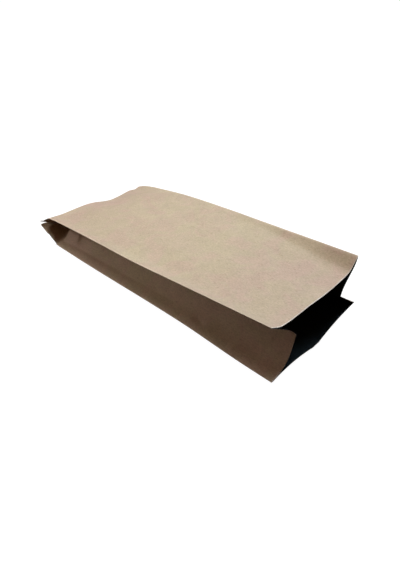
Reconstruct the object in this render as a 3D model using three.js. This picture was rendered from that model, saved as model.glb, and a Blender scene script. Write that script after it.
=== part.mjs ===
// Side gusset bag of kraft paper with a film lining, empty, lying on its back panel.
// The bag is one wall: front panel, two gussets folded inwards along their middle, back panel with a
// lap seam, a flat heat-sealed end at -X and an open mouth at +X.
// Millimetres, +Z up, near side at -Y. Along the bag, x is counted from the sealed cut edge and the
// finished mesh is then moved so that its bounding box is centred over the origin.
import * as THREE from 'three';

// ---- driving dimensions ----
const PANEL_WIDTH = 130; // front and back panel, crease to crease
const PLY_WIDTH = 43; // half of one gusset
const LENGTH = 339; // sealed cut edge to mouth, along x
const WALL = 0.6; // paper and film together, thicker than the real 0.15
const SEAL_WIDTH = 9; // flat strip where the end is welded shut
const SEAM_THICKNESS = 0.5; // extra layers of the lap seam under the back panel
const SEAM_WIDTH = 12; // flat along its whole length: what the bag rests on
const MOUTH_REACH = 1.5; // the middle creases of the gussets stand out this far at the mouth
const BACK_REACH = 0.6; // and the middle of the back panel this far
const MOUTH_REACH_FADE = 60; // both come back to the other lines over this length
const JOIN_X = 27; // from here on every cross-section stands square to x

// ---- how finely the wall is divided ----
const PLY_STEPS = 6; // across one gusset ply, and across the panel in front of it
const SEAM_SIDE_STEPS = 2; // from the seam to the strip in front of a gusset
const SEAL_ROWS = 3;
const RAMP_ROWS = 7; // between the seal and JOIN_X
const END_STATIONS = [JOIN_X, 29.5, 32, 38, 46, 51, 56, 64, 76]; // close together where folds are short
const LONG_ROWS = 17; // evenly from the last of those to the mouth

const HALF_PANEL = PANEL_WIDTH / 2;
const MIDDLE_HALF = HALF_PANEL - PLY_WIDTH; // half the strip where front and back are welded together
const SEAM_HALF = SEAM_WIDTH / 2;
const MIDDLE_STEPS = 2 * SEAM_SIDE_STEPS + 2;
const CREASE_LIMIT = 1.6; // how much further than the wall a sharp crease may be offset
const SHARP_FOLD = 0.5; // two sheets whose normals agree less than this meet in a sharp crease
const CREASE_LEAN = 0.3; // and its offset then leans this much along the fold, away from both sheets
const PLY_CLEARANCE = 1.3 * WALL + 0.25; // keeps the two plies of a gusset apart inside the seal

// Smooth curve through [x, value] pairs, as a function of x.
function through(...pairs) {
  const last = pairs.length - 1;
  const slopes = pairs.slice(1).map(([x, v], i) => (v - pairs[i][1]) / (x - pairs[i][0]));
  const tangents = pairs.map((pair, i) => {
    if (i === 0) return slopes[0];
    if (i === last) return slopes[last - 1];
    const before = pairs[i][0] - pairs[i - 1][0];
    const after = pairs[i + 1][0] - pairs[i][0];
    return (slopes[i - 1] * after + slopes[i] * before) / (before + after);
  });
  return (x) => {
    const at = THREE.MathUtils.clamp(x, pairs[0][0], pairs[last][0]);
    let i = 0;
    while (i < last - 1 && at > pairs[i + 1][0]) i += 1;
    const step = pairs[i + 1][0] - pairs[i][0];
    const t = (at - pairs[i][0]) / step;
    const bump = t * t * (3 - 2 * t);
    return (
      pairs[i][1] * (1 - bump) +
      pairs[i + 1][1] * bump +
      step * t * (1 - t) * ((1 - t) * tangents[i] - t * tangents[i + 1])
    );
  };
}

// ---- the six long creases, from the sealed end to the mouth ----
const creases = {
  nearTop: {
    y: through([18, -65], [100, -65.3], [200, -66.5], [LENGTH, -68.3]),
    z: through(
      [18, 33.4], [29, 35.4], [67, 39.3], [119, 43.4], [171, 47.4], [227, 54.2], [LENGTH, 67.7],
    ),
  },
  farTop: {
    y: through([18, 64], [110, 63.5], [200, 61], [270, 57.5], [LENGTH, 53.5]),
    z: through([18, 23.2], [35, 28.9], [72, 37], [107, 43], [171, 50.9], [228, 57], [LENGTH, 69.9]),
  },
  nearBottom: {
    y: through([18, -65], [29, -64.9], [74, -64], [130, -62.7], [LENGTH, -61.5]),
    z: through(
      [18, 2.2], [29, 1.2], [51, 0.7], [130, 0.6], [181, 1.9], [235, 2.9], [306, 1.2], [LENGTH, 1.6],
    ),
  },
  farBottom: {
    y: through([18, 65], [200, 64.5], [LENGTH, 65.1]),
    z: through([18, 1.2], [100, 0.5], [200, 0.6], [260, 2.2], [300, 5.7], [LENGTH, 10.2]),
  },
  nearMiddle: {
    y: through([18, -23.5], [30, -26], [60, -27], [150, -29], [250, -32], [LENGTH, -35.3]),
    z: through([18, 14], [30, 17.5], [60, 19], [150, 23], [250, 30], [LENGTH, 38.9]),
  },
  farMiddle: {
    y: through([18, 23.5], [30, 26], [60, 27], [150, 29], [250, 31], [LENGTH, 31]),
    z: through([18, 13], [30, 15.5], [60, 19.5], [150, 26.5], [250, 32], [LENGTH, 38.5]),
  },
};

// ---- how the sheets between the creases bend ----
// The front panel's two long edges stand up in a strip: its height and, across, its width.
const nearCurl = through([18, 1], [60, 2], [150, 3.5], [250, 5], [LENGTH, 6.95]);
const farCurl = through(
  [18, 0], [100, 0.3], [180, 0.9], [215, 1.5], [245, 3.2], [262, 4.9], [286, 7.6], [310, 9.8],
  [LENGTH, 12.7],
);
const NEAR_STRIP = 11.4;
const farStrip = through([18, 9], [200, 7], [229, 6], [262, 7.8], [300, 9.2], [LENGTH, 9.7]);
const STRIP_SOFTNESS = 0.33; // how gently a strip turns into the panel
const frontSag = through([18, -0.5], [60, 0], [150, 0.8], [250, 1.5], [LENGTH, 1.8]);
// How the mouth's front edge waves, by its share of the panel's width.
const mouthWave = through(
  [0, 0], [0.1, 0.3], [0.2, -0.1], [0.3, 0], [0.4, 0.2], [0.45, -0.1], [0.5, -0.45], [0.6, -1.2],
  [0.7, -1.2], [0.8, -0.7], [0.9, -0.1], [1, 0],
);
const MOUTH_WAVE_X = 255; // it begins here and is full at the mouth
// A soft dent in the front panel behind the folded end: its depth along x, and its share across y.
const frontDent = through([18, 5], [32, 3.8], [75, 0]);
const dentAcross = through(
  [-25, 0], [-10, 0.1], [0, 0.24], [7, 0.55], [15, 0.9], [25, 1], [35, 0.96], [45, 0.86], [55, 0.62],
  [60, 0.4], [65, 0],
);
// The back panel lifts a little on each side of the seam.
const nearArch = through([18, 0], [200, 0.2], [260, 0.8], [300, 1.8], [LENGTH, 3.5]);
const farArch = through([18, 0], [200, 0.3], [260, 0.8], [300, 1.7], [LENGTH, 2.8]);
const nearLowerByEdge = through([18, 4], [50, 4.2], [150, 5], [250, 8.6], [LENGTH, 14.2]);
const nearLowerByCrease = through([18, 6], [50, 5], [150, 6], [250, 7.8], [LENGTH, 6.1]);
const nearUpperByEdge = through([18, 1], [150, 1], [LENGTH, 0.8]);
const nearUpperByCrease = through([18, 1], [150, 1.5], [250, 2.6], [LENGTH, 4]);
const farUpperByEdge = through([18, -1], [60, 0], [150, 2.5], [250, 1.8], [300, -0.8], [LENGTH, -3.9]);
const farUpperByCrease = through([18, 1], [150, 3], [250, 4.2], [LENGTH, 6.3]);
const farLowerBulge = through([18, 1], [150, 2], [LENGTH, 0.6]);
// Where the near lower ply springs up behind the pocket by the seal: how high, as straight pieces along
// x, and from which line on, in millimetres from the bottom crease.
const FACET_ALONG = [[26.5, 0], [31, 8], [48, 7], [52, 5], [75, 3.6], [115, 1.6], [160, 0]];
const FACET_LEAN = 4; // its far end leans this much further along at its foot
const FACET_LEAN_X = [36, 46]; // the lean grows between these
const facetStart = through([26, 7.5], [50, 9.5], [75, 11.5], [110, 14], [200, 15.5]);
const FACET_RISE = 13; // it reaches its height over this width
const FACET_END = 10; // and comes back to the middle crease over this one

// ---- the sealed end: its middle height, setback, slope and the folds next to it, across y ----
const sealHeight = through(
  [-65, 19.3], [-58, 17.6], [-54, 15.8], [-48, 13], [-40, 10.8], [-22, 9.4], [22, 9], [45, 8.8],
  [65, 9.5],
);
const sealSetback = through([-65, 0], [-50, 2.5], [-30, 4.5], [30, 4.5], [50, 4.5], [65, 4.5]);
const sealSlope = through([-65, -0.07], [-50, 0.3], [-30, 0.55], [30, 0.55], [50, 0.4], [65, 0.2]);
const frontFoldX = through([-65, 21.6], [-58, 19], [-50, 17.5], [40, 17.5], [58, 19.5], [65, 23]);
const frontFoldZ = through(
  [-65, 34.4], [-45, 30.3], [-23, 28.7], [-8, 27.4], [3, 24], [13, 19.2], [23, 17.5], [32, 17.2],
  [43, 16.7], [56, 17.4], [65, 19.5],
);
const backFoldX = through([-65, 24.5], [-50, 19], [-22, 16.5], [22, 16.5], [50, 18], [65, 21]);
const backFoldZ = through([-65, 2.8], [-58, 1.5], [-50, 0.35], [-40, 0.35], [65, 0.35]);
const INNER_FOLD_X = 19; // where the middle crease of a gusset leaves the seal's slope
const PLY_DROP = 1; // and there it lies at least this far under the front panel
const FOLD_PULL = 1.5; // how closely the wall follows the corner of a fold
// Half the opening between the plies at a corner of the end: at the cut, what it gains per millimetre
// from there, and how steeply it grows towards the corner.
const NEAR_TIP = { atCut: 1.1, perMm: 0.51, parting: 7 };
const FAR_TIP = { atCut: 0.6, perMm: 0.3, parting: 1.7 };

function keyPoint(name, x) {
  return new THREE.Vector2(creases[name].y(x), creases[name].z(x));
}

// 0 along most of the bag, rising to 1 at the mouth.
function atMouth(x) {
  return THREE.MathUtils.smoothstep(x, LENGTH - MOUTH_REACH_FADE, LENGTH);
}

// 1 at a panel's edge, falling straight to 0 at the inner side of the strip that stands up there.
function stripShare(share) {
  const rest = 1 - share;
  return (rest + Math.hypot(rest, STRIP_SOFTNESS)) / (1 + Math.hypot(1, STRIP_SOFTNESS));
}

function frontPanel(x, v) {
  const near = keyPoint('nearTop', x);
  const far = keyPoint('farTop', x);
  const y = THREE.MathUtils.lerp(near.x, far.x, v);
  const level = THREE.MathUtils.lerp(near.y - nearCurl(x), far.y - farCurl(x), v);
  const nearEdge = nearCurl(x) * stripShare((y - near.x) / NEAR_STRIP);
  const farEdge = farCurl(x) * stripShare((far.x - y) / farStrip(x));
  const wave = mouthWave(v) * THREE.MathUtils.smoothstep(x, MOUTH_WAVE_X, LENGTH);
  const sag = 4 * frontSag(x) * v * (1 - v);
  const dent = frontDent(x) * dentAcross(y);
  return new THREE.Vector3(x, y, level - sag - dent + wave + nearEdge + farEdge);
}

function backPanel(x, v) {
  const near = keyPoint('nearBottom', x);
  const far = keyPoint('farBottom', x);
  const sideways = (v - 0.5) * PANEL_WIDTH;
  const nearShare = Math.max(-sideways - SEAM_HALF, 0) / (HALF_PANEL - SEAM_HALF);
  const farShare = Math.max(sideways - SEAM_HALF, 0) / (HALF_PANEL - SEAM_HALF);
  const edges = near.y * nearShare ** 1.5 + far.y * farShare;
  const nearLift = nearArch(x) * Math.sin(Math.PI * nearShare);
  const farLift = farArch(x) * Math.sin(Math.PI * farShare);
  const reach = BACK_REACH * 4 * v * (1 - v) * atMouth(x);
  return new THREE.Vector3(x + reach, THREE.MathUtils.lerp(near.x, far.x, v), edges + nearLift + farLift);
}

// Straight pieces between [x, value] pairs.
function straightThrough(pairs, x) {
  const after = pairs.findIndex(([at]) => at > x);
  if (after === 0) return pairs[0][1];
  if (after < 0) return pairs.at(-1)[1];
  const [fromX, from] = pairs[after - 1];
  const [toX, to] = pairs[after];
  return THREE.MathUtils.mapLinear(x, fromX, toX, from, to);
}

// How far the near lower ply stands up from its own curve.
function facet(x, v) {
  const across = v * PLY_WIDTH;
  const rise = THREE.MathUtils.clamp((across - facetStart(x)) / FACET_RISE, 0, 1);
  const end = THREE.MathUtils.clamp((PLY_WIDTH - across) / FACET_END, 0, 1);
  const leaning = x - FACET_LEAN * (1 - rise) * THREE.MathUtils.smoothstep(x, ...FACET_LEAN_X);
  return straightThrough(FACET_ALONG, leaning) * rise * end;
}

const noFacet = () => 0;

// A gusset ply from its outer crease to the gusset's middle crease, bent by two offsets from the
// straight line.
function ply(outer, middle, bendByOuter, bendByMiddle, standsUp = noFacet) {
  return (x, v) => {
    const start = keyPoint(outer, x);
    const end = keyPoint(middle, x);
    const chord = end.clone().sub(start);
    const side = new THREE.Vector2(chord.y, -chord.x).normalize();
    const curve = new THREE.CubicBezierCurve(
      start,
      start.clone().addScaledVector(chord, 1 / 3).addScaledVector(side, bendByOuter(x)),
      start.clone().addScaledVector(chord, 2 / 3).addScaledVector(side, bendByMiddle(x)),
      end,
    );
    const point = curve.getPoint(v).addScaledVector(side, -standsUp(x, v));
    const reach = MOUTH_REACH * Math.sin((Math.PI / 2) * v) * atMouth(x);
    return new THREE.Vector3(x + reach, point.x, point.y);
  };
}

const negative = (curve) => (x) => -curve(x);

// Each sheet: its surface, and where it lies in the seal. layer is +1 for the upper pair of sheets.
const sheets = {
  front: { surface: frontPanel, flatY: (v) => (v - 0.5) * PANEL_WIDTH, layer: 1 },
  farUpper: {
    surface: ply('farTop', 'farMiddle', farUpperByEdge, farUpperByCrease),
    flatY: (v) => HALF_PANEL - v * PLY_WIDTH,
    layer: 1,
  },
  farLower: {
    surface: ply('farBottom', 'farMiddle', negative(farLowerBulge), negative(farLowerBulge)),
    flatY: (v) => HALF_PANEL - v * PLY_WIDTH,
    layer: -1,
  },
  back: { surface: backPanel, flatY: (v) => (v - 0.5) * PANEL_WIDTH, layer: -1 },
  nearLower: {
    surface: ply('nearBottom', 'nearMiddle', nearLowerByEdge, nearLowerByCrease, facet),
    flatY: (v) => v * PLY_WIDTH - HALF_PANEL,
    layer: -1,
  },
  nearUpper: {
    surface: ply('nearTop', 'nearMiddle', negative(nearUpperByEdge), negative(nearUpperByCrease)),
    flatY: (v) => v * PLY_WIDTH - HALF_PANEL,
    layer: 1,
  },
};

function steps(from, to, count) {
  const shares = Array.from({ length: count + 1 }, (unused, i) => i / count);
  return shares.map((share) => THREE.MathUtils.lerp(from, to, share));
}

// The long lines of the wall, once round the cross-section: {sheet, v}, starting at the near top crease.
function linesAround() {
  const plyShare = PLY_WIDTH / PANEL_WIDTH;
  const seamShare = SEAM_HALF / PANEL_WIDTH;
  const across = [
    ...steps(0, plyShare, PLY_STEPS),
    ...steps(plyShare, 0.5 - seamShare, SEAM_SIDE_STEPS).slice(1),
    0.5,
    ...steps(0.5 + seamShare, 1 - plyShare, SEAM_SIDE_STEPS),
    ...steps(1 - plyShare, 1, PLY_STEPS).slice(1),
  ];
  const inwards = steps(0, 1, PLY_STEPS);
  const line = (sheet) => (v) => ({ sheet, v });
  return [
    ...across.map(line('front')),
    ...inwards.slice(1).map(line('farUpper')),
    ...inwards.toReversed().slice(1).map(line('farLower')),
    ...across.toReversed().slice(1).map(line('back')),
    ...inwards.slice(1).map(line('nearLower')),
    ...inwards.toReversed().slice(1, -1).map(line('nearUpper')),
  ];
}

// A point of the weld plane in the sealed strip, `along` millimetres from the cut edge.
function sealPoint({ sheet, v }, along) {
  const { flatY, layer } = sheets[sheet];
  const y = flatY(v);
  const outside = Math.abs(y) - MIDDLE_HALF;
  const tip = y < 0 ? NEAR_TIP : FAR_TIP;
  const atTip = tip.atCut + tip.perMm * along;
  const parted = outside > 1e-6;
  const opening = parted ? PLY_CLEARANCE + atTip * (outside / PLY_WIDTH) ** tip.parting : 0;
  const slope = sealSlope(y);
  return new THREE.Vector3(
    sealSetback(y) + along * Math.sqrt(1 - slope * slope),
    y,
    sealHeight(y) + along * slope + layer * opening,
  );
}

// The corner that a line turns on its way from the seal to the open bag.
function foldPoint({ sheet, v }) {
  const { surface, flatY, layer } = sheets[sheet];
  const y = flatY(v);
  const panelX = layer > 0 ? frontFoldX(y) : backFoldX(y);
  if (sheet === 'front') return new THREE.Vector3(panelX, surface(JOIN_X, v).y, frontFoldZ(y));
  if (sheet === 'back') return new THREE.Vector3(panelX, surface(JOIN_X, v).y, backFoldZ(y));
  const corner = surface(INNER_FOLD_X, v);
  corner.x = THREE.MathUtils.lerp(panelX, INNER_FOLD_X, v);
  if (layer > 0) {
    const folded = frontFoldZ(y);
    corner.z = THREE.MathUtils.lerp(folded, Math.min(corner.z, folded - PLY_DROP), Math.sqrt(v));
  }
  return corner;
}

// Rational quadratic curve from the seal past the fold to the open bag.
function rampPoint(line, t) {
  const weights = [(1 - t) ** 2, 2 * FOLD_PULL * t * (1 - t), t ** 2];
  const total = weights[0] + weights[1] + weights[2];
  return new THREE.Vector3()
    .addScaledVector(sealPoint(line, SEAL_WIDTH), weights[0] / total)
    .addScaledVector(foldPoint(line), weights[1] / total)
    .addScaledVector(sheets[line.sheet].surface(JOIN_X, line.v), weights[2] / total);
}

// Rows of points on the inside of the wall, from the cut edge of the seal to the mouth.
function innerRows(lines) {
  const alongSeal = steps(0, SEAL_WIDTH, SEAL_ROWS - 1);
  const upRamp = steps(0, 1, RAMP_ROWS).slice(1, -1);
  const stations = [...END_STATIONS, ...steps(END_STATIONS.at(-1), LENGTH, LONG_ROWS).slice(1)];
  return [
    ...alongSeal.map((along) => lines.map((line) => sealPoint(line, along))),
    ...upRamp.map((t) => lines.map((line) => rampPoint(line, t))),
    ...stations.map((x) => lines.map(({ sheet, v }) => sheets[sheet].surface(x, v))),
  ];
}

// Outward normal of the sheet between lines j and j + 1 at row k.
function sheetNormal(rows, k, j) {
  const next = (j + 1) % rows[k].length;
  const along = rows[Math.min(k + 1, rows.length - 1)][j].clone().sub(rows[Math.max(k - 1, 0)][j]);
  const around = rows[k][next].clone().sub(rows[k][j]);
  return along.cross(around).normalize();
}

function wallThickness({ sheet, v }) {
  const onSeam = sheet === 'back' && Math.abs(sheets[sheet].flatY(v)) < SEAM_HALF + WALL;
  return onSeam ? WALL + SEAM_THICKNESS : WALL;
}

// The way from a crease that leads away from both of its sheets, out of the bag or of its gusset.
function alongFold(point, previous, next) {
  const away = point.clone().sub(previous).normalize().add(point.clone().sub(next).normalize());
  return away.multiplyScalar(Math.sign(away.y * point.y)).normalize();
}

// The outside of the wall: every point moved out by the wall, mitred at the creases.
function outerRows(rows, lines) {
  const count = lines.length;
  return rows.map((row, k) =>
    row.map((point, j) => {
      const previous = (j + count - 1) % count;
      const before = sheetNormal(rows, k, previous);
      const after = sheetNormal(rows, k, j);
      const lean = THREE.MathUtils.clamp((SHARP_FOLD - before.dot(after)) / SHARP_FOLD, 0, 1);
      const direction = before.clone().add(after);
      direction.addScaledVector(alongFold(point, row[previous], row[(j + 1) % count]), CREASE_LEAN * lean);
      direction.normalize();
      const mitre = Math.min(1 / Math.max(direction.dot(after), 0.1), CREASE_LIMIT);
      return point.clone().addScaledVector(direction, mitre * wallThickness(lines[j]));
    }),
  );
}

// How far a line runs from the nearest of the four outer creases.
function toCrease({ sheet, v }) {
  if (sheet === 'front' || sheet === 'back') return Math.min(v, 1 - v) * PANEL_WIDTH;
  return v * PLY_WIDTH;
}

// Joins the outside, the inside, the rim of the mouth and the cut edge into one closed surface.
function closedWall(lines) {
  const inner = innerRows(lines);
  const outer = outerRows(inner, lines);
  const count = lines.length;
  const lastRow = inner.length - 1;
  const weldRow = SEAL_ROWS - 1; // the inside ends here, where the sheets meet
  const panelSteps = 2 * PLY_STEPS + MIDDLE_STEPS;
  const farBottom = panelSteps + 2 * PLY_STEPS;
  const backLine = (i) => farBottom + panelSteps - i; // the back panel's line under line i of the front
  const positions = [];
  const faces = [];
  const quad = (a, b, c, d) => faces.push(a, b, c, a, c, d);
  const quadOtherWay = (a, b, c, d) => faces.push(b, c, d, b, d, a);

  const outerAt = outer.map((row) => row.map((point) => positions.push(...point.toArray()) / 3 - 1));

  // In the weld, a gusset line shares its point with the panel line it is welded to, and in the
  // middle the back panel shares the front panel's points.
  const weldPartner = (j) => {
    const { sheet } = lines[j];
    const i = backLine(0) - j;
    if (sheet === 'farUpper') return 2 * panelSteps - j;
    if (sheet === 'nearUpper') return count - j;
    if (sheet === 'farLower') return j === farBottom ? j : 2 * farBottom - j;
    if (sheet === 'nearLower') return 2 * backLine(0) - j;
    if (sheet === 'back' && i >= PLY_STEPS && i <= PLY_STEPS + MIDDLE_STEPS) return i;
    return j;
  };
  const innerAt = inner.map((row) => row.map(() => -1));
  for (let k = weldRow; k <= lastRow; k += 1) {
    for (let j = 0; j < count; j += 1) {
      let owner = j;
      while (k === weldRow && weldPartner(owner) !== owner) owner = weldPartner(owner);
      if (innerAt[k][owner] < 0) {
        innerAt[k][owner] = positions.push(...inner[k][owner].toArray()) / 3 - 1;
      }
      innerAt[k][j] = innerAt[k][owner];
    }
  }

  for (let j = 0; j < count; j += 1) {
    const next = (j + 1) % count;
    // Two sheets that lie close together beside their crease are divided the same way.
    const split = toCrease(lines[next]) < toCrease(lines[j]) ? quadOtherWay : quad;
    for (let k = 0; k < lastRow; k += 1) {
      split(outerAt[k][j], outerAt[k + 1][j], outerAt[k + 1][next], outerAt[k][next]);
      if (k >= weldRow) split(innerAt[k][j], innerAt[k][next], innerAt[k + 1][next], innerAt[k + 1][j]);
    }
    quad(outerAt[lastRow][j], innerAt[lastRow][j], innerAt[lastRow][next], outerAt[lastRow][next]);
  }

  // The cut edge of the seal, layer by layer between each pair of facing lines.
  const cut = outerAt[0];
  const edgeStrip = (upper, lower, from, to) => {
    for (let i = from; i < to; i += 1) {
      const corners = [upper(i), upper(i + 1), lower(i + 1), lower(i)].map((j) => cut[j % count]);
      if (corners[0] === corners[3]) faces.push(corners[0], corners[1], corners[2]);
      else if (corners[1] === corners[2]) faces.push(corners[0], corners[1], corners[3]);
      else quad(...corners);
    }
  };
  const front = (i) => i;
  const nearMiddle = count - PLY_STEPS;
  const farMiddle = panelSteps + PLY_STEPS;
  const innerEnd = PLY_STEPS + MIDDLE_STEPS;
  edgeStrip(front, (i) => count - i, 0, PLY_STEPS);
  edgeStrip((i) => backLine(0) + i, backLine, 0, PLY_STEPS);
  edgeStrip(front, backLine, PLY_STEPS, innerEnd);
  edgeStrip(front, (i) => 2 * panelSteps - i, innerEnd, panelSteps);
  edgeStrip((i) => farBottom - panelSteps + i, backLine, innerEnd, panelSteps);
  faces.push(cut[PLY_STEPS], cut[backLine(PLY_STEPS)], cut[nearMiddle]);
  faces.push(cut[innerEnd], cut[farMiddle], cut[backLine(innerEnd)]);

  const geometry = new THREE.BufferGeometry();
  geometry.setAttribute('position', new THREE.Float32BufferAttribute(positions, 3));
  geometry.setIndex(faces);
  geometry.computeVertexNormals();
  return geometry;
}

function makeBag() {
  const geometry = closedWall(linesAround());
  geometry.computeBoundingBox();
  const { min, max } = geometry.boundingBox;
  const kraft = new THREE.MeshStandardMaterial({ color: 0xc9b9a1, roughness: 0.85, metalness: 0 });
  const bag = new THREE.Mesh(geometry, kraft);
  bag.name = 'bag';
  bag.position.set(-(min.x + max.x) / 2, -(min.y + max.y) / 2, -min.z);
  return bag;
}

const group = new THREE.Group();
group.add(makeBag());

export default group;
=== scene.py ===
"""Side gusset bag, empty, lying on its back panel: kraft paper outside, dark film inside.

The bag is one wall round six long creases. Its shape is worked out in millimetres, with x counted from
the sealed cut edge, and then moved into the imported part's frame. Two thin closed shells follow that
shape: the film, and the paper outside it.
"""

import math

import bpy
import numpy as np
from mathutils import Matrix, Vector


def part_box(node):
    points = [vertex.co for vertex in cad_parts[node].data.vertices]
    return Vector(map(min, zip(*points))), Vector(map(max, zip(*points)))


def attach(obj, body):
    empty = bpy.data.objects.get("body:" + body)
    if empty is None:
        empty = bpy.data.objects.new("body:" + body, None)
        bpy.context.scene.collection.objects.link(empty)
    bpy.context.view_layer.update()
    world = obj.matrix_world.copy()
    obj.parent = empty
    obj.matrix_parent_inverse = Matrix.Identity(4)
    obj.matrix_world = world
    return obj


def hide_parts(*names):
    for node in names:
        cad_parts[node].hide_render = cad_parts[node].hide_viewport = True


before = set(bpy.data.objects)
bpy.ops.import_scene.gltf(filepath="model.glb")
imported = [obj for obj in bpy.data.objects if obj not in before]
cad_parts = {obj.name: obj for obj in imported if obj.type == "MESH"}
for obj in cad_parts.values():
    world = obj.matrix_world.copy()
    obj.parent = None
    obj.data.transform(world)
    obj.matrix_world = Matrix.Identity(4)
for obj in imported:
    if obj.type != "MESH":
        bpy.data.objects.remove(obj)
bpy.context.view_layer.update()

# ---- driving dimensions in millimetres, the same as the solid's ----
PANEL_WIDTH = 130.0  # front and back panel, crease to crease
PLY_WIDTH = 43.0  # half of one gusset
LENGTH = 339.0  # sealed cut edge to mouth
SEAL_WIDTH = 9.0  # flat strip where the end is welded shut
SEAM_WIDTH = 12.0  # lap seam under the back panel
WALL = 0.6  # the solid's wall
SEAM_DEPTH = 1.1  # wall and seam together, from the inside of the bag to what it rests on
MOUTH_REACH = 1.5  # the middle creases of the gussets stand out this far at the mouth
BACK_REACH = 0.6  # and the middle of the back panel this far
MOUTH_REACH_FADE = 60.0  # both come back to the other lines over this length
JOIN_X = 27.0  # from here on every cross-section stands square to x
MM_PER_M = 1000.0

# ---- the two layers: how far each lies outside the bag's inner face ----
FILM_INNER = 0.01
FILM_OUTER = 0.06
PAPER_INNER = 0.07
PAPER_OUTER = 0.45

HALF_PANEL = PANEL_WIDTH / 2
MIDDLE_HALF = HALF_PANEL - PLY_WIDTH
SEAM_HALF = SEAM_WIDTH / 2
CREASE_LIMIT = 1.6  # how much further than the layer a sharp crease may be offset
SHARP_FOLD = 0.5  # two sheets whose normals agree less than this meet in a sharp crease
CREASE_LEAN = 0.3  # and its offset then leans this much along the fold, away from both sheets
PLY_CLEARANCE = PAPER_OUTER + 0.04  # keeps the plies of a gusset apart inside the seal


def through(*pairs):
    """Smooth curve through (x, value) pairs, as a function of an array of x."""
    xs, values = np.array(pairs, float).T
    gaps = np.diff(xs)
    slopes = np.diff(values) / gaps
    inner = (slopes[:-1] * gaps[1:] + slopes[1:] * gaps[:-1]) / (gaps[:-1] + gaps[1:])
    tangents = np.concatenate([slopes[:1], inner, slopes[-1:]])

    def curve(x):
        at = np.clip(x, xs[0], xs[-1])
        i = np.clip(np.searchsorted(xs, at, side="right") - 1, 0, len(xs) - 2)
        t = (at - xs[i]) / gaps[i]
        bump = t * t * (3 - 2 * t)
        bend = gaps[i] * t * (1 - t) * ((1 - t) * tangents[i] - t * tangents[i + 1])
        return values[i] * (1 - bump) + values[i + 1] * bump + bend

    return curve


def smoothstep(x, low, high):
    t = np.clip((x - low) / (high - low), 0, 1)
    return t * t * (3 - 2 * t)


def at_mouth(x):
    """0 along most of the bag, rising to 1 at the mouth."""
    return smoothstep(x, LENGTH - MOUTH_REACH_FADE, LENGTH)


# ---- the six long creases, from the sealed end to the mouth: y and z ----
# They are the solid's, but by the sealed end the far top crease keeps closer to the photo's outline.
CREASES = {
    "near_top": (
        through((18, -65), (100, -65.3), (200, -66.5), (LENGTH, -68.3)),
        through(
            (18, 33.4), (29, 35.4), (67, 39.3), (119, 43.4), (171, 47.4), (227, 54.2), (LENGTH, 67.7)
        ),
    ),
    "far_top": (
        through((18, 64), (110, 63.5), (200, 61), (270, 57.5), (LENGTH, 53.5)),
        through(
            (18, 21.8), (27, 25.4), (31, 27.2), (36, 29.3), (44, 31.8), (72, 37), (107, 43), (171, 50.9),
            (228, 57), (LENGTH, 69.9)
        ),
    ),
    "near_bottom": (
        through((18, -65), (29, -64.9), (74, -64), (130, -62.7), (LENGTH, -61.5)),
        through(
            (18, 2.2), (29, 1.2), (51, 0.7), (130, 0.6), (181, 1.9), (235, 2.9), (306, 1.2), (LENGTH, 1.6)
        ),
    ),
    "far_bottom": (
        through((18, 65), (200, 64.5), (LENGTH, 65.1)),
        through((18, 1.2), (100, 0.5), (200, 0.6), (260, 2.2), (300, 5.7), (LENGTH, 10.2)),
    ),
    "near_middle": (
        through((18, -23.5), (30, -26), (60, -27), (150, -29), (250, -32), (LENGTH, -35.3)),
        through((18, 14), (30, 17.5), (60, 19), (150, 23), (250, 30), (LENGTH, 38.9)),
    ),
    "far_middle": (
        through((18, 23.5), (30, 26), (60, 27), (150, 29), (250, 31), (LENGTH, 31)),
        through((18, 13), (30, 15.5), (60, 19.5), (150, 26.5), (250, 32), (LENGTH, 38.5)),
    ),
}

# ---- how the sheets between the creases bend ----
# The front panel's two long edges stand up in a strip: its height and, across, its width.
near_curl = through((18, 1), (60, 2), (150, 3.5), (250, 5), (LENGTH, 6.95))
far_curl = through(
    (18, 0), (100, 0.3), (180, 0.9), (215, 1.5), (245, 3.2), (262, 4.9), (286, 7.6), (310, 9.8),
    (LENGTH, 12.7)
)
NEAR_STRIP = 11.4
far_strip = through((18, 9), (200, 7), (229, 6), (262, 7.8), (300, 9.2), (LENGTH, 9.7))
STRIP_SOFTNESS = 0.33  # how gently a strip turns into the panel
front_sag = through((18, -0.5), (60, 0), (150, 0.8), (250, 1.5), (LENGTH, 1.8))
# How the mouth's front edge waves, by its share of the panel's width.
mouth_wave = through(
    (0, 0), (0.1, 0.3), (0.2, -0.1), (0.3, 0), (0.4, 0.2), (0.45, -0.1), (0.5, -0.45), (0.6, -1.2),
    (0.7, -1.2), (0.8, -0.7), (0.9, -0.1), (1, 0)
)
MOUTH_WAVE_X = 255.0  # it begins here and is full at the mouth
# A soft dent in the front panel behind the folded end: its depth along x, and its share of that across y.
front_dent = through((18, 5), (32, 3.8), (75, 0))
dent_across = through(
    (-25, 0), (-10, 0.1), (0, 0.24), (7, 0.55), (15, 0.9), (25, 1), (35, 0.96), (45, 0.86), (55, 0.62),
    (60, 0.4), (65, 0)
)
near_arch = through((18, 0), (200, 0.2), (260, 0.8), (300, 1.8), (LENGTH, 3.5))
far_arch = through((18, 0), (200, 0.3), (260, 0.8), (300, 1.7), (LENGTH, 2.8))
near_lower_by_edge = through((18, 4), (50, 4.2), (150, 5), (250, 8.6), (LENGTH, 14.2))
near_lower_by_crease = through((18, 6), (50, 5), (150, 6), (250, 7.8), (LENGTH, 6.1))
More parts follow.
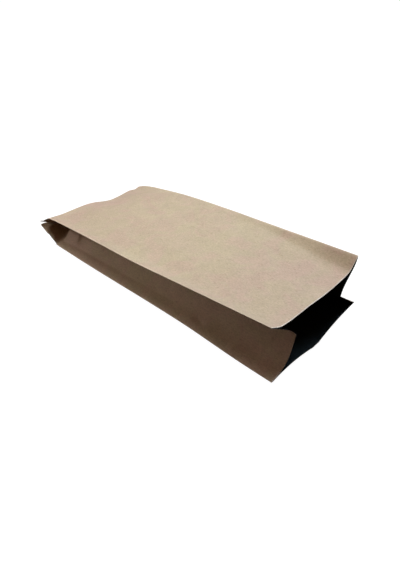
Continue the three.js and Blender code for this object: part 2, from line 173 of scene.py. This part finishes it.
# Where the near lower ply springs up behind the pocket by the seal: how high along x, and from which
# line on, in millimetres from the bottom crease.
FACET_ALONG = ((26.5, 0), (31, 8), (48, 7), (52, 5), (75, 3.6), (115, 1.6), (160, 0))
FACET_LEAN = 4.0  # its far end leans this much further along at its foot
FACET_LEAN_X = (36, 46)  # that sets in along this stretch of x
facet_start = through((26, 7.5), (50, 9.5), (75, 11.5), (110, 14), (200, 15.5))
FACET_RISE = 13.0  # it reaches its height over this width
FACET_END = 10.0  # and comes back to the middle crease over this one
near_upper_by_edge = through((18, 1), (150, 1), (LENGTH, 0.8))
near_upper_by_crease = through((18, 1), (150, 1.5), (250, 2.6), (LENGTH, 4.0))
far_upper_by_edge = through((18, -1), (60, 0), (150, 2.5), (250, 1.8), (300, -0.8), (LENGTH, -3.9))
far_upper_by_crease = through((18, 1), (150, 3), (250, 4.2), (LENGTH, 6.3))
far_lower_bulge = through((18, 1), (150, 2), (LENGTH, 0.6))

# ---- the sealed end: its height, setback and slope across y, and the folds beside it ----
seal_height = through(
    (-65, 19.3), (-58, 17.6), (-54, 15.8), (-48, 13), (-40, 10.8), (-22, 9.4), (22, 9), (45, 8.8), (65, 9.5)
)
seal_setback = through((-65, 0), (-50, 2.5), (-30, 4.5), (30, 4.5), (50, 4.5), (65, 4.5))
seal_slope = through((-65, -0.07), (-50, 0.3), (-30, 0.55), (30, 0.55), (50, 0.4), (65, 0.2))
front_fold_x = through((-65, 21.6), (-58, 19), (-50, 17.5), (40, 17.5), (58, 19.5), (65, 23))
front_fold_z = through(
    (-65, 34.4), (-45, 30.3), (-23, 28.7), (-8, 27.4), (3, 24), (13, 19.2), (23, 17.5), (32, 17.2),
    (43, 16.7), (56, 17.4), (65, 19.5)
)
back_fold_x = through((-65, 24.5), (-50, 19), (-22, 16.5), (22, 16.5), (50, 18), (65, 21))
back_fold_z = through((-65, 2.8), (-58, 1.5), (-50, 0.35), (-40, 0.35), (65, 0.35))
INNER_FOLD_X = 19.0  # where the middle crease of a gusset leaves the seal's slope
PLY_DROP = 1.0  # and there it lies at least this far under the front panel
FOLD_PULL = 1.5  # how closely the wall follows the corner of a fold
NEAR_TIP = (1.7, 0.5)  # half the opening between the plies at the corner: at the cut, and per mm
FAR_TIP = (0.8, 0.3)  # the solid's plies part 0.4 mm more at this corner
NEAR_PARTING = 7.0  # how steeply that opening grows towards the corner
FAR_PARTING = 1.7


def points(x, y, z):
    return np.stack(np.broadcast_arrays(x, y, z), axis=-1)


def strip_share(share):
    """1 at a panel's edge, falling straight to 0 at the inner side of the strip that stands up there."""
    rest = 1 - share
    return (rest + np.sqrt(rest**2 + STRIP_SOFTNESS**2)) / (1 + math.sqrt(1 + STRIP_SOFTNESS**2))


def front_panel(x, v):
    near_y, near_z = (part(x) for part in CREASES["near_top"])
    far_y, far_z = (part(x) for part in CREASES["far_top"])
    y = near_y + (far_y - near_y) * v
    near_level = near_z - near_curl(x)
    far_level = far_z - far_curl(x)
    level = near_level + (far_level - near_level) * v
    near_edge = near_curl(x) * strip_share((y - near_y) / NEAR_STRIP)
    far_edge = far_curl(x) * strip_share((far_y - y) / far_strip(x))
    wave = mouth_wave(v) * smoothstep(x, MOUTH_WAVE_X, LENGTH)
    sag = 4 * front_sag(x) * v * (1 - v)
    dent = front_dent(x) * dent_across(y)
    return points(x, y, level - sag - dent + wave + near_edge + far_edge)


def back_panel(x, v):
    near_y, near_z = (part(x) for part in CREASES["near_bottom"])
    far_y, far_z = (part(x) for part in CREASES["far_bottom"])
    sideways = (v - 0.5) * PANEL_WIDTH
    near_share = np.maximum(-sideways - SEAM_HALF, 0) / (HALF_PANEL - SEAM_HALF)
    far_share = np.maximum(sideways - SEAM_HALF, 0) / (HALF_PANEL - SEAM_HALF)
    edges = near_z * near_share**1.5 + far_z * far_share
    arches = near_arch(x) * np.sin(np.pi * near_share) + far_arch(x) * np.sin(np.pi * far_share)
    reach = BACK_REACH * 4 * v * (1 - v) * at_mouth(x)
    return points(x + reach, near_y + (far_y - near_y) * v, edges + arches)


def facet(x, v):
    """How far the near lower ply stands up from its own curve."""
    xs, heights = np.array(FACET_ALONG).T
    across = v * PLY_WIDTH
    rise = np.clip((across - facet_start(x)) / FACET_RISE, 0, 1)
    end = np.clip((PLY_WIDTH - across) / FACET_END, 0, 1)
    leaning = x - FACET_LEAN * (1 - rise) * smoothstep(x, *FACET_LEAN_X)
    return np.interp(leaning, xs, heights) * rise * end


def no_facet(x, v):
    return 0 * (x + v)


def ply(outer, middle, bend_by_outer, bend_by_middle, stands_up=no_facet):
    """A gusset ply from its outer crease to the gusset's middle crease, as a cubic Bezier curve across."""

    def surface(x, v):
        start = np.stack([part(x) for part in CREASES[outer]], axis=-1)
        end = np.stack([part(x) for part in CREASES[middle]], axis=-1)
        chord = end - start
        side = np.stack([chord[..., 1], -chord[..., 0]], axis=-1)
        side /= np.linalg.norm(side, axis=-1, keepdims=True)
        first = start + chord / 3 + side * bend_by_outer(x)[..., None]
        second = start + chord * 2 / 3 + side * bend_by_middle(x)[..., None]
        v = np.asarray(v)[..., None]
        flat = (
            start * (1 - v) ** 3
            + first * 3 * v * (1 - v) ** 2
            + second * 3 * v**2 * (1 - v)
            + end * v**3
        )
        flat = flat - side * stands_up(x, v[..., 0])[..., None]
        reach = MOUTH_REACH * np.sin(np.pi / 2 * v[..., 0]) * at_mouth(x)
        return points(x + reach, flat[..., 0], flat[..., 1])

    return surface


def negative(curve):
    return lambda x: -curve(x)


def panel_flat_y(v):
    return (v - 0.5) * PANEL_WIDTH


def far_flat_y(v):
    return HALF_PANEL - v * PLY_WIDTH


def near_flat_y(v):
    return v * PLY_WIDTH - HALF_PANEL


# Each sheet: its surface, its place across the seal, +1 for the upper pair of sheets, and its width.
SHEETS = {
    "front": (front_panel, panel_flat_y, 1, PANEL_WIDTH),
    "far_upper": (
        ply("far_top", "far_middle", far_upper_by_edge, far_upper_by_crease),
        far_flat_y,
        1,
        PLY_WIDTH,
    ),
    "far_lower": (
        ply("far_bottom", "far_middle", negative(far_lower_bulge), negative(far_lower_bulge)),
        far_flat_y,
        -1,
        PLY_WIDTH,
    ),
    "back": (back_panel, panel_flat_y, -1, PANEL_WIDTH),
    "near_lower": (
        ply("near_bottom", "near_middle", near_lower_by_edge, near_lower_by_crease, facet),
        near_flat_y,
        -1,
        PLY_WIDTH,
    ),
    "near_upper": (
        ply("near_top", "near_middle", negative(near_upper_by_edge), negative(near_upper_by_crease)),
        near_flat_y,
        1,
        PLY_WIDTH,
    ),
}

# ---- where the lines and the rows of the mesh lie ----
BY_CREASE = np.array([0, 0.35, 0.9, 1.8, 3.0, 4.6])  # how far the lines by an outer crease lie from it
BY_MIDDLE = np.array([4.6, 2.4, 0])  # and those by the middle crease of a gusset
LINE_STEP = 1.9  # between the other lines
SEAM_STEP = 0.25  # the lap seam's edge rises over this width
SEAM_LINE_STEP = 2.0
SEAL_STEP = 0.375
RAMP_ROWS = 26
STATION_STEPS = ((32, 0.5), (54, 1.0), (LENGTH - 2, 1.9))  # the open bag's rows: up to which x, and step
CUT_BEVEL = 0.4  # the cut edge at the mouth is a little rounded over this length
CUT_DROP = 0.2  # and comes in by this much


def evenly(start, stop, step):
    return np.linspace(start, stop, max(int(round((stop - start) / step)), 1) + 1)


def ply_lines():
    """Millimetres from the outer crease to the middle crease."""
    inner = PLY_WIDTH - BY_MIDDLE
    return np.concatenate([BY_CREASE[:-1], evenly(BY_CREASE[-1], inner[0], LINE_STEP), inner[1:]])


def panel_lines():
    """Millimetres across a panel: each gusset's lines, and the lap seam's edges in the middle."""
    side = ply_lines()
    seam_start = HALF_PANEL - SEAM_HALF
    gap = evenly(PLY_WIDTH, seam_start - SEAM_STEP, LINE_STEP)[1:]
    seam = evenly(seam_start, HALF_PANEL, SEAM_LINE_STEP)[:-1]
    half = np.concatenate([side, gap, seam])
    return np.concatenate([half, [HALF_PANEL], (PANEL_WIDTH - half)[::-1]])


def make_station_rows():
    """x of every row of the open bag."""
    xs = [JOIN_X]
    for stop, step in STATION_STEPS:
        xs.extend(evenly(xs[-1], stop, step)[1:])
    return np.array(xs + [LENGTH - 1, LENGTH - CUT_BEVEL, LENGTH])


seal_rows = evenly(0, SEAL_WIDTH, SEAL_STEP)
ramp_rows = np.linspace(0, 1, RAMP_ROWS + 1)[1:-1]
station_rows = make_station_rows()


def seal_points(sheet, v, along):
    """Points of the weld in the sealed strip, `along` millimetres from the cut edge."""
    _, flat_y, layer, _ = SHEETS[sheet]
    y = flat_y(v)
    outside = np.maximum(np.abs(y) - MIDDLE_HALF, 0)
    tip_at_cut = np.where(y < 0, NEAR_TIP[0], FAR_TIP[0])
    tip_per_mm = np.where(y < 0, NEAR_TIP[1], FAR_TIP[1])
    parting = np.where(y < 0, NEAR_PARTING, FAR_PARTING)
    opening = (tip_at_cut + tip_per_mm * along) * (outside / PLY_WIDTH) ** parting
    opening = opening + np.where(outside > 1e-6, PLY_CLEARANCE, 0)
    slope = seal_slope(y)
    x = seal_setback(y) + along * np.sqrt(1 - slope * slope)
    return points(x, y, seal_height(y) + along * slope + layer * opening)


def fold_points(sheet, v):
    """The corner that each line turns on its way from the seal to the open bag."""
    surface, flat_y, layer, _ = SHEETS[sheet]
    y = flat_y(v)
    panel_x = front_fold_x(y) if layer > 0 else back_fold_x(y)
    if sheet in ("front", "back"):
        z = front_fold_z(y) if sheet == "front" else back_fold_z(y)
        return points(panel_x, surface(np.full_like(v, JOIN_X), v)[..., 1], z)
    corner = surface(np.full_like(v, INNER_FOLD_X), v)
    corner[..., 0] = panel_x + (INNER_FOLD_X - panel_x) * v
    if layer > 0:
        folded = front_fold_z(y)
        corner[..., 2] = folded + (np.minimum(corner[..., 2], folded - PLY_DROP) - folded) * np.sqrt(v)
    return corner


def sheet_rows(sheet, across):
    """All rows of one sheet, from the cut edge of the seal to the mouth."""
    surface, _, _, width = SHEETS[sheet]
    v = (across / width)[None, :]
    seal = seal_points(sheet, v, seal_rows[:, None])
    t = ramp_rows[:, None, None]
    weights = [(1 - t) ** 2, 2 * FOLD_PULL * t * (1 - t), t**2]
    corners = [
        seal_points(sheet, v, np.array([[SEAL_WIDTH]])),
        fold_points(sheet, v),
        surface(np.full_like(v, JOIN_X), v),
    ]
    ramp = sum(w * c for w, c in zip(weights, corners)) / sum(weights)
    open_rows = surface(station_rows[:, None] + 0 * v, v + 0 * station_rows[:, None])
    return np.concatenate([seal, ramp, open_rows])


def loop():
    """(sheet, millimetres across it) of every line, once round the bag from the near top crease."""
    panel, inwards = panel_lines(), ply_lines()
    return [
        ("front", panel),
        ("far_upper", inwards[1:]),
        ("far_lower", inwards[::-1][1:]),
        ("back", panel[::-1][1:]),
        ("near_lower", inwards[1:]),
        ("near_upper", inwards[::-1][1:-1]),
    ]


# ---- small relief of the paper, along the outward normal ----
# How high the ripples of each sheet are, in millimetres.
RIPPLE = {
    "front": 0.30,
    "far_upper": 0.25,
    "far_lower": 0.30,
    "back": 0.12,
    "near_lower": 0.30,
    "near_upper": 0.25,
}
RIPPLE_LENGTHS = (22.0, 75.0)
RIPPLE_WAVES = 14
RIPPLE_SQUEEZE = 0.7  # x counts this much less in a wave, so that the ripples are longer along the bag
FIRST_SEED = 5
CREASE_HOLD = 6.0  # all relief fades out this near to a crease
RIPPLE_START = (24, 45)  # the ripples set in along this stretch of x
SEAM_CALM = (1, 12)  # on the back panel they set in this far from the lap seam
MOUTH_CALM = 40.0  # and on the front panel they fade out over this length before the mouth
# Marks pressed into the near lower ply, in x and in millimetres from its outer crease. The dimple has its
# depth, place, two half lengths and turn in degrees; each pinch its depth, its two ends and its width.
DIMPLE = (1.2, (247, 9.5), (8, 3.0), -14)
PINCHES = (
    (0.6, (193, 22), (193, 33), 1.1),
    (0.45, (180, 13), (185, 20), 1.2),
    (0.6, (28, 9.5), (232, 14.5), 1.6),
)


def ripples(x, s, seed):
    """Soft random waves in the paper, of unit size."""
    rng = np.random.default_rng(seed)
    total = 0
    for _ in range(RIPPLE_WAVES):
        length = rng.uniform(*RIPPLE_LENGTHS)
        angle = rng.uniform(0, math.pi)
        phase = rng.uniform(0, 2 * math.pi)
        along = x * math.cos(angle) * RIPPLE_SQUEEZE + s * math.sin(angle)
        total = total + np.sin(2 * math.pi * along / length + phase)
    return total / math.sqrt(RIPPLE_WAVES / 2)


def dimple(x, s, depth, at, reach, turn):
    """A soft round dent at (x, s)."""
    c, d = math.cos(math.radians(turn)), math.sin(math.radians(turn))
    dx, ds = x - at[0], s - at[1]
    return depth * np.exp(-(((dx * c + ds * d) / reach[0]) ** 2) - ((-dx * d + ds * c) / reach[1]) ** 2)


def pinch(x, s, depth, start, end, width):
    """A short straight crease from start to end, sharp across and fading along."""
    start, end = np.array(start, float), np.array(end, float)
    length = np.linalg.norm(end - start)
    ux, us = (end - start) / length
    along = ((x - start[0]) * ux + (s - start[1]) * us) / length
    off = -(x - start[0]) * us + (s - start[1]) * ux
    fade = np.clip(1 - (2 * along - 1) ** 2, 0, 1) ** 0.75
    return depth * fade * np.exp(-np.abs(off) / width)


def relief(sheet, x, s, width):
    to_crease = np.minimum(s, width - s)
    hold = 1 - np.exp(-((to_crease / CREASE_HOLD) ** 2))
    seed = FIRST_SEED + sorted(SHEETS).index(sheet)
    height = RIPPLE[sheet] * ripples(x, s, seed) * smoothstep(x, *RIPPLE_START)
    if sheet == "back":
        height = height * smoothstep(np.abs(s - HALF_PANEL) - SEAM_HALF, *SEAM_CALM)
    if sheet == "front":
        height = height * (1 - smoothstep(x, LENGTH - MOUTH_CALM, LENGTH))
    if sheet == "near_lower":
        height = height - dimple(x, s, *DIMPLE)
        for mark in PINCHES:
            height = height - pinch(x, s, *mark)
    return height * hold


def unit(vectors):
    return vectors / np.maximum(np.linalg.norm(vectors, axis=-1, keepdims=True), 1e-9)


def sheet_normals(rows):
    """Outward normal of the strip between each line and the next."""
    along = np.empty_like(rows)
    along[1:-1] = rows[2:] - rows[:-2]
    along[0] = rows[1] - rows[0]
    along[-1] = rows[-1] - rows[-2]
    return unit(np.cross(along, np.roll(rows, -1, axis=1) - rows))


def outward(rows):
    """Direction and mitre by which a point moves out when the layer is one millimetre thicker."""
    after = sheet_normals(rows)
    before = np.roll(after, 1, axis=1)
    apart = unit(rows - np.roll(rows, 1, axis=1)) + unit(rows - np.roll(rows, -1, axis=1))
    apart = unit(apart * np.sign(apart[..., 1] * rows[..., 1])[..., None])
    agreement = np.sum(before * after, axis=-1)
    lean = CREASE_LEAN * np.clip((SHARP_FOLD - agreement) / SHARP_FOLD, 0, 1)
    direction = unit(before + after + apart * lean[..., None])
    mitre = np.minimum(1 / np.maximum(np.sum(direction * after, axis=-1), 0.1), CREASE_LIMIT)
    return direction * mitre[..., None]


def make_inner_face():
    """Rows of points on the inner face of the bag, with the paper's relief."""
    rows = np.concatenate([sheet_rows(sheet, across) for sheet, across in loop()], axis=1)
    normals = outward(rows)
    heights = np.concatenate(
        [
            relief(sheet, part[..., 0], across[None, :], SHEETS[sheet][3])
            for (sheet, across), part in zip(loop(), split_by_sheet(rows))
        ],
        axis=1,
    )
    return rows + normals * heights[..., None]


def split_by_sheet(rows):
    ends = np.cumsum([len(across) for _, across in loop()])[:-1]
    return np.split(rows, ends, axis=1)


# ---- meshes ----
RIB_PITCH = 1.5  # ribs pressed into the paper by the sealing jaws
RIB_DEPTH = 0.07
FLOOR_GAP = 0.04  # keeps the seam off the floor's own plane
COARSE_ROWS = 4  # a hidden face keeps every fourth row, apart from the fold
FOLD_STATIONS = 34  # and this many rows behind it
SHARP_ANGLE = 38.0  # edges that turn by more degrees than this are shaded sharp
WEAR_AND_HIGHLIGHT_WIDTH = 0.9  # how far from a crease the paper is pale: partly worn, partly a painted highlight of the fold


def line_facts():
    """For every line: is it on the lap seam, and how far it is from the nearest outer crease."""
    on_seam, to_crease = [], []
    for sheet, across in loop():
        width = SHEETS[sheet][3]
        middle = np.abs(across - HALF_PANEL) < SEAM_HALF + SEAM_STEP / 2
        on_seam.append(middle & (sheet == "back"))
        is_panel = sheet in ("front", "back")
        to_crease.append(np.minimum(across, width - across) if is_panel else across)
    return np.concatenate(on_seam), np.concatenate(to_crease)


def paper_depth(rows_count, on_seam):
    """How far the paper's outer face lies outside the bag's inner face, for every row and line."""
    depth = np.full((rows_count, len(on_seam)), PAPER_OUTER)
    depth[: len(seal_rows)] += (RIB_DEPTH * np.sin(2 * np.pi * seal_rows / RIB_PITCH))[:, None]
    depth[:, on_seam] = SEAM_DEPTH - FLOOR_GAP
    depth[-1] -= CUT_DROP
    return depth


def hidden_rows(rows_count):
    """The rows that are kept in the faces between the two layers."""
    start = len(seal_rows)
    fine_to = start + len(ramp_rows) + FOLD_STATIONS
    keep = list(range(0, start, COARSE_ROWS)) + list(range(start, fine_to))
    keep += list(range(fine_to, rows_count, COARSE_ROWS))
    return sorted(set(keep) | {rows_count - 1})


def add_attribute(mesh, name, values):
    mesh.attributes.new(name, "FLOAT", "POINT").data.foreach_set("value", values.astype(np.float32))


def wall_object(name, outer, inner, to_crease):
    """One closed shell between two faces that share their first and last rows' places."""
    count = outer.shape[1]
    vertices = np.concatenate([outer.reshape(-1, 3), inner.reshape(-1, 3)])
    outer_at = np.arange(outer.shape[0] * count).reshape(-1, count)
    inner_at = outer_at.size + np.arange(inner.shape[0] * count).reshape(-1, count)

    def strip(lower, upper):
        return np.stack([lower, upper, np.roll(upper, -1, axis=-1), np.roll(lower, -1, axis=-1)], axis=-1)

    faces = np.concatenate(
        [
            strip(outer_at[:-1], outer_at[1:]).reshape(-1, 4),
            strip(inner_at[:-1], inner_at[1:]).reshape(-1, 4)[:, ::-1],
            strip(outer_at[-1], inner_at[-1]).reshape(-1, 4),
            strip(inner_at[0], outer_at[0]).reshape(-1, 4),
        ]
    )
    mesh = bpy.data.meshes.new(name)
    mesh.vertices.add(len(vertices))
    mesh.vertices.foreach_set("co", (vertices / MM_PER_M).astype(np.float32).ravel())
    mesh.loops.add(faces.size)
    mesh.loops.foreach_set("vertex_index", faces.astype(np.int32).ravel())
    mesh.polygons.add(len(faces))
    mesh.polygons.foreach_set("loop_start", np.arange(0, faces.size, 4, dtype=np.int32))
    mesh.update(calc_edges=True)
    mesh.validate()
    mesh.shade_smooth()
    mesh.set_sharp_from_angle(angle=math.radians(SHARP_ANGLE))
    rows_count = outer.shape[0] + inner.shape[0]
    # Pale along every crease: partly worn paper, partly a painted highlight of the fold catching light.
    add_attribute(mesh, "wear_and_crease_highlight", np.tile(np.exp(-((to_crease / WEAR_AND_HIGHLIGHT_WIDTH) ** 2)), rows_count))
    # The cut edges are pale: the cut paper's own colour, brightened further as a painted highlight.
    cut = np.zeros((rows_count, count))
    cut[0] = 1
    cut[outer.shape[0] - 2 :] = 1
    add_attribute(mesh, "cut", cut.ravel())
    piece = bpy.data.objects.new(name, mesh)
    bpy.context.scene.collection.objects.link(piece)
    return piece


def make_bag():
    """The paper and the film, and the shift that brings the bag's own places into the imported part's frame."""
    inner_face = make_inner_face()
    on_seam, to_crease = line_facts()
    out = outward(inner_face)
    low, high = (np.array(corner) * MM_PER_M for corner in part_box("bag"))
    solid = (inner_face + out * WALL).reshape(-1, 3)
    shift = (low + high) / 2 - (solid.min(0) + solid.max(0)) / 2
    shift[2] = SEAM_DEPTH
    hidden = hidden_rows(len(inner_face))
    depth = paper_depth(len(inner_face), on_seam)
    paper = wall_object(
        "bag_kraft",
        inner_face + out * depth[..., None] + shift,
        (inner_face + out * PAPER_INNER + shift)[hidden],
        to_crease,
    )
    film = wall_object(
        "bag_lining",
        (inner_face + out * FILM_OUTER + shift)[hidden],
        inner_face + out * FILM_INNER + shift,
        to_crease,
    )
    return paper, film, shift


# ---- materials ----
class Graph:
    """A node tree, with short ways to add the nodes used here. Each gives back the new node's output."""

    def __init__(self, tree):
        self.nodes = tree.nodes
        self.links = tree.links

    def feed(self, socket, value):
        """Links a socket to another node's output, or sets its own number, vector or colour."""
        if isinstance(value, bpy.types.NodeSocket):
            self.links.new(value, socket)
        elif socket.type == "RGBA":
            socket.default_value = (*value, 1)
        else:
            socket.default_value = value

    def feed_all(self, node, inputs):
        for key, value in inputs.items():
            self.feed(node.inputs[key], value)

    def add(self, kind, output, inputs, **settings):
        node = self.nodes.new(kind)
        for name, value in settings.items():
            setattr(node, name, value)
        self.feed_all(node, inputs)
        return node.outputs[output]

    def along_bag(self):
        """The object's own x in metres."""
        place = self.add("ShaderNodeTexCoord", "Object", {})
        return self.add("ShaderNodeSeparateXYZ", "X", {"Vector": place})

    def place(self, x_scale=1.0):
        """The object's own coordinates in metres; under 1, what is drawn with them is longer along x."""
        place = self.add("ShaderNodeTexCoord", "Object", {})
        return self.add("ShaderNodeMapping", "Vector", {"Vector": place, "Scale": (x_scale, 1, 1)})

    def noise(self, vector, scale, detail, roughness=0.5, distortion=0.0):
        inputs = {"Vector": vector, "Scale": scale, "Detail": detail}
        inputs.update({"Roughness": roughness, "Distortion": distortion})
        return self.add("ShaderNodeTexNoise", "Fac", inputs)

    def attribute(self, name):
        return self.add("ShaderNodeAttribute", "Fac", {}, attribute_name=name)

    def product(self, first, second):
        return self.add("ShaderNodeMath", "Value", {0: first, 1: second}, operation="MULTIPLY")

    def spread(self, value, low, high, from_low=0.3, from_high=0.7):
        """Stretches what lies between from_low and from_high, as most of a noise does, to low and high."""
        inputs = {"Value": value, "From Min": from_low, "From Max": from_high, "To Min": low, "To Max": high}
        return self.add("ShaderNodeMapRange", "Result", inputs)

    def ramp(self, value, *stops):
        node = self.nodes.new("ShaderNodeValToRGB")
        elements = node.color_ramp.elements
        while len(elements) < len(stops):
            elements.new(0.5)
        for element, (position, colour) in zip(elements, stops):
            element.position = position
            element.color = (*colour, 1)
        self.feed(node.inputs["Fac"], value)
        return node.outputs["Color"]

    def mix(self, kind, amount, first, second):
        inputs = {0: amount, 6: first, 7: second}
        return self.add("ShaderNodeMix", 2, inputs, data_type="RGBA", blend_type=kind)

    def bump(self, height, distance, below=None):
        inputs = {"Height": height, "Distance": distance}
        if below is not None:
            inputs["Normal"] = below
        return self.add("ShaderNodeBump", "Normal", inputs)


def new_material(name):
    material = bpy.data.materials.new(name)
    material.use_nodes = True
    graph = Graph(material.node_tree)
    return material, graph, graph.nodes["Principled BSDF"]


# Ramps, as stops of position and colour.
KRAFT_TINTS = ((0.40, (0.525, 0.435, 0.288)), (0.5, (0.53, 0.425, 0.295)), (0.58, (0.54, 0.412, 0.297)))
BLOTCHES = ((0.3, (0.94, 0.935, 0.93)), (0.7, (1.05, 1.05, 1.05)))
GRAIN = ((0.28, (0.80, 0.80, 0.79)), (0.72, (1.14, 1.14, 1.14)))
FLECKS = ((0.30, (0.9, 0.88, 0.86)), (0.40, (1, 1, 1)))
# The film's own near black, lifted and tinted teal as painted sheen.
FILM_TONE_AND_SHEEN = ((0.3, (0.009, 0.017, 0.021)), (0.7, (0.012, 0.023, 0.029)))
# Pale paper, partly worn or cut and partly painted highlight: the mesh's attribute, how strongly it shows and
# its colour.
PALE_EDGES_AND_HIGHLIGHTS = (("wear_and_crease_highlight", 0.55, (0.66, 0.54, 0.41)), ("cut", 0.95, (0.76, 0.71, 0.63)))
# The paper is darker and redder towards the sealed end and the mouth: the tone it is multiplied with, and
# in metres along the bag, where that sets in and where it is full.
END_TONES = (((0.925, 0.87, 0.905), -0.02, -0.13), ((0.945, 0.905, 0.95), 0.04, 0.15))
END_TONE_CLOUDS = (0.55, 1.15)  # the least and the most of that tone


def kraft_material():
    material, graph, shader = new_material("kraft_paper")
    fibres = graph.place(0.6)
    plain = graph.place()
    grain = graph.noise(fibres, 900, 3, roughness=0.65)
    flecks = graph.noise(fibres, 420, 2)
    cockle = graph.noise(plain, 95, 2, distortion=0.4)
    blotches = graph.noise(plain, 70, 3, roughness=0.6, distortion=0.6)
    tint = graph.noise(plain, 38, 2, roughness=0.55, distortion=0.8)
    clouds = graph.spread(graph.noise(plain, 16, 2), *END_TONE_CLOUDS)
    colour = graph.ramp(tint, *KRAFT_TINTS)
    for value, stops in ((blotches, BLOTCHES), (grain, GRAIN), (flecks, FLECKS)):
        colour = graph.mix("MULTIPLY", 1.0, colour, graph.ramp(value, *stops))
    for tone, starts, full in END_TONES:
        by_end = graph.spread(graph.along_bag(), 0, 1, starts, full)
        colour = graph.mix("MULTIPLY", graph.product(by_end, clouds), colour, tone)
    # Mixes in the pale creases and cut edges, part wear and part painted highlight.
    for name, strength, pale_and_lit in PALE_EDGES_AND_HIGHLIGHTS:
        patchy = graph.spread(blotches, strength / 2, strength)
        colour = graph.mix("MIX", graph.product(graph.attribute(name), patchy), colour, pale_and_lit)
    surface = {
        "Base Color": colour,
        "Roughness": graph.spread(grain, 0.62, 0.8),
        "Specular IOR Level": 0.45,
        "Sheen Weight": 0.15,
        "Sheen Roughness": 0.6,
        "Normal": graph.bump(grain, 0.00012, graph.bump(cockle, 0.0006)),
    }
    graph.feed_all(shader, surface)
    return material


def film_material():
    material, graph, shader = new_material("film_lining")
    place = graph.place(0.5)
    waves = graph.noise(place, 60, 2, distortion=0.3)
    fine = graph.noise(place, 700, 2)
    surface = {
        # The base colour carries painted sheen as well as the film's dark colour.
        "Base Color": graph.ramp(waves, *FILM_TONE_AND_SHEEN),
        "Roughness": graph.spread(fine, 0.36, 0.5),
        "Specular IOR Level": 0.4,
        "Normal": graph.bump(waves, 0.0008),
    }
    graph.feed_all(shader, surface)
    return material


def studio_material():
    """White of itself, so that the ground is white in the picture without strong light on the bag."""
    material, graph, shader = new_material("pale_floor")
    surface = {
        "Base Color": (0.12, 0.12, 0.12),
        "Roughness": 0.9,
        "Specular IOR Level": 0.1,
        "Emission Color": (1, 1, 1),
        "Emission Strength": 1.0,
    }
    graph.feed_all(shader, surface)
    return material


# ---- studio, lights and camera ----
FLOOR_HALF = 6.0
WALL_HEIGHT = 8.0
# The world's light by height, from straight below at 0 to straight above at 1.
WORLD_LIGHT = (
    (0.0, (0.05, 0.02, 0.008)),
    (0.5, (0.012, 0.007, 0.004)),
    (0.70, (0.02, 0.012, 0.008)),
    (0.85, (0.18, 0.088, 0.042)),
    (1.0, (0.03, 0.03, 0.03)),
)
# Name, place and size in metres, watts and colour.
LIGHTS = (
    ("key", (-0.28, 0.1, 1.3), (0.9, 0.9), 12.7, (1.0, 1.0, 0.96)),
    ("rim", (0.0, 0.95, 1.05), (1.1, 0.9), 14.0, (0.72, 0.84, 1.0)),
    ("fill", (-0.5, -0.33, 0.18), (0.36, 0.22), 0.97, (1.0, 0.89, 0.82)),
)
LIGHTS_AIM = Vector((0, 0, 0.03))
# The photo's camera: its place in the bag's own millimetres, and its right, up and back directions.
CAMERA_PLACE = np.array([502.08, -307.52, 335.60])
CAMERA_AXES = (
    (0.71957, 0.69412, -0.02030),
    (-0.41893, 0.45723, 0.78450),
    (0.55382, -0.55600, 0.61980),
)
FOCAL_PIXELS = 520.0
FRAME_PIXELS = 570.0  # the photo's longer side, which the sensor's width is laid along
SENSOR = 36.0


def stage_object(name, corners, faces, material):
    """A part of the studio that is seen but throws no light onto the bag."""
    mesh = bpy.data.meshes.new(name)
    mesh.from_pydata(corners, [], faces)
    mesh.materials.append(material)
    piece = bpy.data.objects.new(name, mesh)
    bpy.context.scene.collection.objects.link(piece)
    piece.visible_diffuse = False
    piece.visible_glossy = False
    return piece


def make_studio():
    """A pale floor, and walls as white as it round its edge for the views from a low angle."""
    half = FLOOR_HALF
    square = [(-half, -half), (half, -half), (half, half), (-half, half)]
    low = [(x, y, 0) for x, y in square]
    high = [(x, y, WALL_HEIGHT) for x, y in square]
    material = studio_material()
    stage_object("floor", low, [(0, 1, 2, 3)], material)
    sides = [(i, (i + 1) % 4, (i + 1) % 4 + 4, i + 4) for i in range(4)]
    walls = stage_object("walls", low + high, sides, material)
    walls.visible_shadow = False


def area_light(name, position, size, watts, colour):
    data = bpy.data.lights.new(name, "AREA")
    data.shape = "RECTANGLE"
    data.size, data.size_y = size
    data.energy = watts
    data.color = colour
    light = bpy.data.objects.new(name, data)
    light.location = position
    light.rotation_euler = (LIGHTS_AIM - Vector(position)).to_track_quat("-Z", "Y").to_euler()
    bpy.context.scene.collection.objects.link(light)


def make_world():
    world = bpy.data.worlds.new("studio")
    bpy.context.scene.world = world
    world.use_nodes = True
    graph = Graph(world.node_tree)
    direction = graph.add("ShaderNodeTexCoord", "Generated", {})
    height = graph.add("ShaderNodeSeparateXYZ", "Z", {"Vector": direction})
    colour = graph.ramp(graph.spread(height, 0, 1, -1, 1), *WORLD_LIGHT)
    graph.feed_all(graph.nodes["Background"], {"Color": colour, "Strength": 1.0})


def make_camera(shift):
    data = bpy.data.cameras.new("camera")
    data.sensor_width = SENSOR
    data.lens = SENSOR * FOCAL_PIXELS / FRAME_PIXELS
    data.clip_start = 0.01
    camera = bpy.data.objects.new("camera", data)
    place = (CAMERA_PLACE + shift) / MM_PER_M
    turn = Matrix(CAMERA_AXES).transposed()
    camera.matrix_world = Matrix.Translation(Vector(place)) @ turn.to_4x4()
    bpy.context.scene.collection.objects.link(camera)
    bpy.context.scene.camera = camera


paper, film, shift = make_bag()
paper.data.materials.append(kraft_material())
film.data.materials.append(film_material())
for piece, slot in ((paper, "kraft_paper"), (film, "film_lining")):
    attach(piece, "root")
    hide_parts("bag")

make_camera(shift)
make_studio()
make_world()
for light in LIGHTS:
    area_light(*light)
bpy.context.scene.view_settings.view_transform = "Standard"
